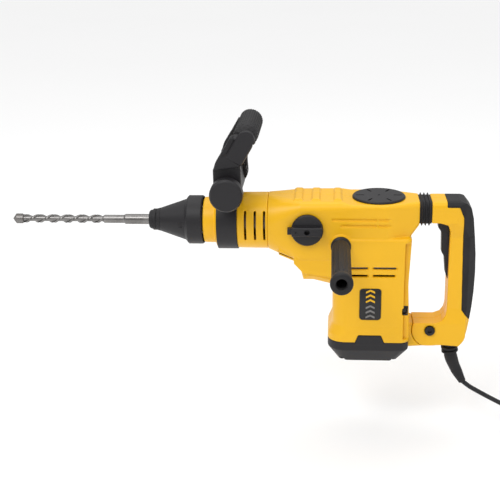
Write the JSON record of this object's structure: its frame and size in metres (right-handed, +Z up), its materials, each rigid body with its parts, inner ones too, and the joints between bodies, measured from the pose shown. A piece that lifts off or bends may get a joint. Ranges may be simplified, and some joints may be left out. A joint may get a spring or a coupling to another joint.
{
  "type": "demolition hammer",
  "caption": "Electric rotary demolition hammer: vertical motor, crank hammer, splined chuck with drill bit, sprung rear D-handle, swivelling front D-handle, side bar handle and mains lead.",
  "frame": {"origin": "centre of the rear grip, where the hand holds the tool", "axes": "+X from the bit to the rear handle along the tool axis, +Z up with the motor below the tool axis, -Y the operator's left with the bar handle"},
  "size_m": [0.9443, 0.3172, 0.5305],
  "materials": {
    "housing_yellow": "satin moulded",
    "charcoal_plastic": "fine spark texture",
    "nameplate_black": "satin label",
    "soft_rubber": "soft matt",
    "bright_steel": "ground",
    "dark_steel": "blackened",
    "cast_aluminium": "die cast",
    "copper_windings": "varnished copper",
    "bronze": "bronze",
    "carbide": "brazed carbide",
    "circuit_board": "board",
    "cord_jacket": "matt jacket"
  },
  "bodies": {
    "rear_handle": {"handle_shell_left": "housing_yellow", "handle_shell_right": "housing_yellow", "handle_overmold": "soft_rubber", "handle_screws": "dark_steel", "pivot_bolt": "dark_steel", "power_switch": "charcoal_plastic", "cord_guard": "soft_rubber", "power_cord": "cord_jacket", "cord_coil": "cord_jacket", "plug": "cord_jacket"},
    "main_body": {"main_shell_left": "housing_yellow", "main_shell_right": "housing_yellow", "housing_screws": "dark_steel", "base_cap": "charcoal_plastic", "grease_cap": "charcoal_plastic", "nameplate": "nameplate_black", "front_barrel": "housing_yellow", "spindle_bearings": "bronze", "gear_plate": "cast_aluminium", "shaft_bearings": "bright_steel", "stator_core": "dark_steel", "field_coils": "copper_windings", "brush_gear": "bronze", "speed_control_board": "circuit_board", "side_handle_inserts": "bright_steel", "bar_handle_stud": "bright_steel", "bar_handle_core": "charcoal_plastic", "bar_handle_grip": "soft_rubber", "bellows": "soft_rubber", "damping_springs": "bright_steel"},
    "armature": {"armature_shaft": "bright_steel", "armature_core": "copper_windings", "commutator": "copper_windings", "cooling_fan": "charcoal_plastic"},
    "crank": {"crank_gear": "bright_steel", "crankshaft": "bright_steel"},
    "intermediate": {"intermediate_shaft": "bright_steel"},
    "spindle": {"crown_gear": "bright_steel", "hammer_tube": "bright_steel", "tool_holder": "bright_steel", "locking_segments": "bright_steel", "dust_cap": "soft_rubber", "sleeve_spring": "bright_steel"},
    "lock_sleeve": {"lock_sleeve": "charcoal_plastic"},
    "bit": {"drill_bit": "bright_steel", "carbide_tip": "carbide"},
    "piston": {"piston": "cast_aluminium", "wrist_pin": "bright_steel"},
    "conrod": {"connecting_rod": "cast_aluminium"},
    "striker": {"striker": "bright_steel"},
    "impact_bolt": {"impact_bolt": "bright_steel"},
    "selector": {"selector_knob": "charcoal_plastic"},
    "speed_dial": {"speed_dial": "charcoal_plastic"},
    "clamp": {"clamp_band": "charcoal_plastic", "clamp_bolt": "bright_steel", "toothed_washers": "dark_steel"},
    "d_handle": {"d_handle_frame": "charcoal_plastic", "d_handle_grip": "soft_rubber"},
    "clamp_knob": {"clamp_knob": "charcoal_plastic"},
    "trigger": {"trigger": "charcoal_plastic"}
  },
  "joints": [
    {"name": "handle_pivot", "type": "hinge", "parent": "rear_handle", "child": "main_body", "pos_m": [-0.0464, 0, -0.115], "axis": [0, 1, 0], "range_deg": [0, 2.5], "stiffness_Nm_per_rad": 400, "springref_deg": -1.72, "deforming": ["bellows", "damping_springs"]},
    {"name": "armature_spin", "type": "hinge", "parent": "main_body", "child": "armature", "pos_m": [-0.1425, 0, 0], "axis": [0, 0, 1], "continuous": true},
    {"name": "crank_spin", "type": "hinge", "parent": "main_body", "child": "crank", "pos_m": [-0.11245, 0, 0], "axis": [0, 0, 1], "continuous": true},
    {"name": "intermediate_spin", "type": "hinge", "parent": "main_body", "child": "intermediate", "pos_m": [-0.17255, 0, 0], "axis": [0, 0, 1], "continuous": true},
    {"name": "spindle_spin", "type": "hinge", "parent": "main_body", "child": "spindle", "pos_m": [-0.3, 0, 0.0615], "axis": [1, 0, 0], "continuous": true},
    {"name": "sleeve_slide", "type": "slide", "parent": "spindle", "child": "lock_sleeve", "axis": [1, 0, 0], "range_m": [0, 0.008], "stiffness_N_per_m": 2500, "springref_m": -0.006, "deforming": ["sleeve_spring"]},
    {"name": "bit_slide", "type": "slide", "parent": "spindle", "child": "bit", "axis": [1, 0, 0], "range_m": [0, 0.01]},
    {"name": "piston_slide", "type": "slide", "parent": "main_body", "child": "piston", "axis": [1, 0, 0], "range_m": [0, 0.03]},
    {"name": "conrod_swing", "type": "hinge", "parent": "piston", "child": "conrod", "pos_m": [-0.18945, 0, 0.0615], "axis": [0, 0, 1], "range_deg": [-14, 14]},
    {"name": "striker_slide", "type": "slide", "parent": "main_body", "child": "striker", "axis": [1, 0, 0], "range_m": [-0.028, 0.01]},
    {"name": "impact_bolt_slide", "type": "slide", "parent": "spindle", "child": "impact_bolt", "axis": [1, 0, 0], "range_m": [0, 0.006]},
    {"name": "selector_turn", "type": "hinge", "parent": "main_body", "child": "selector", "pos_m": [-0.241, -0.05, 0.0615], "axis": [0, 1, 0], "range_deg": [-90, 90]},
    {"name": "speed_dial_turn", "type": "hinge", "parent": "main_body", "child": "speed_dial", "pos_m": [-0.0895, -0.0342, -0.0728], "axis": [1, 0, 0], "range_deg": [-140, 140]},
    {"name": "clamp_turn", "type": "hinge", "parent": "main_body", "child": "clamp", "pos_m": [-0.366, 0, 0.0615], "axis": [1, 0, 0], "range_deg": [-90, 90]},
    {"name": "d_handle_swivel", "type": "hinge", "parent": "clamp", "child": "d_handle", "pos_m": [-0.36, 0, 0.1275], "axis": [0, 1, 0], "range_deg": [-60, 30]},
    {"name": "clamp_knob_turn", "type": "hinge", "parent": "clamp", "child": "clamp_knob", "pos_m": [-0.36, -0.085, 0.1275], "axis": [0, 1, 0], "range_deg": [-180, 180]},
    {"name": "trigger_pull", "type": "slide", "parent": "rear_handle", "child": "trigger", "axis": [1, 0, 0], "range_m": [0, 0.006], "stiffness_N_per_m": 900, "springref_m": -0.004}
  ],
  "couplings": [
    {"joint": "crank_spin", "follows": "armature_spin", "ratio": -0.25},
    {"joint": "intermediate_spin", "follows": "armature_spin", "ratio": -0.25},
    {"joint": "spindle_spin", "follows": "armature_spin", "ratio": 0.052083}
  ]
}
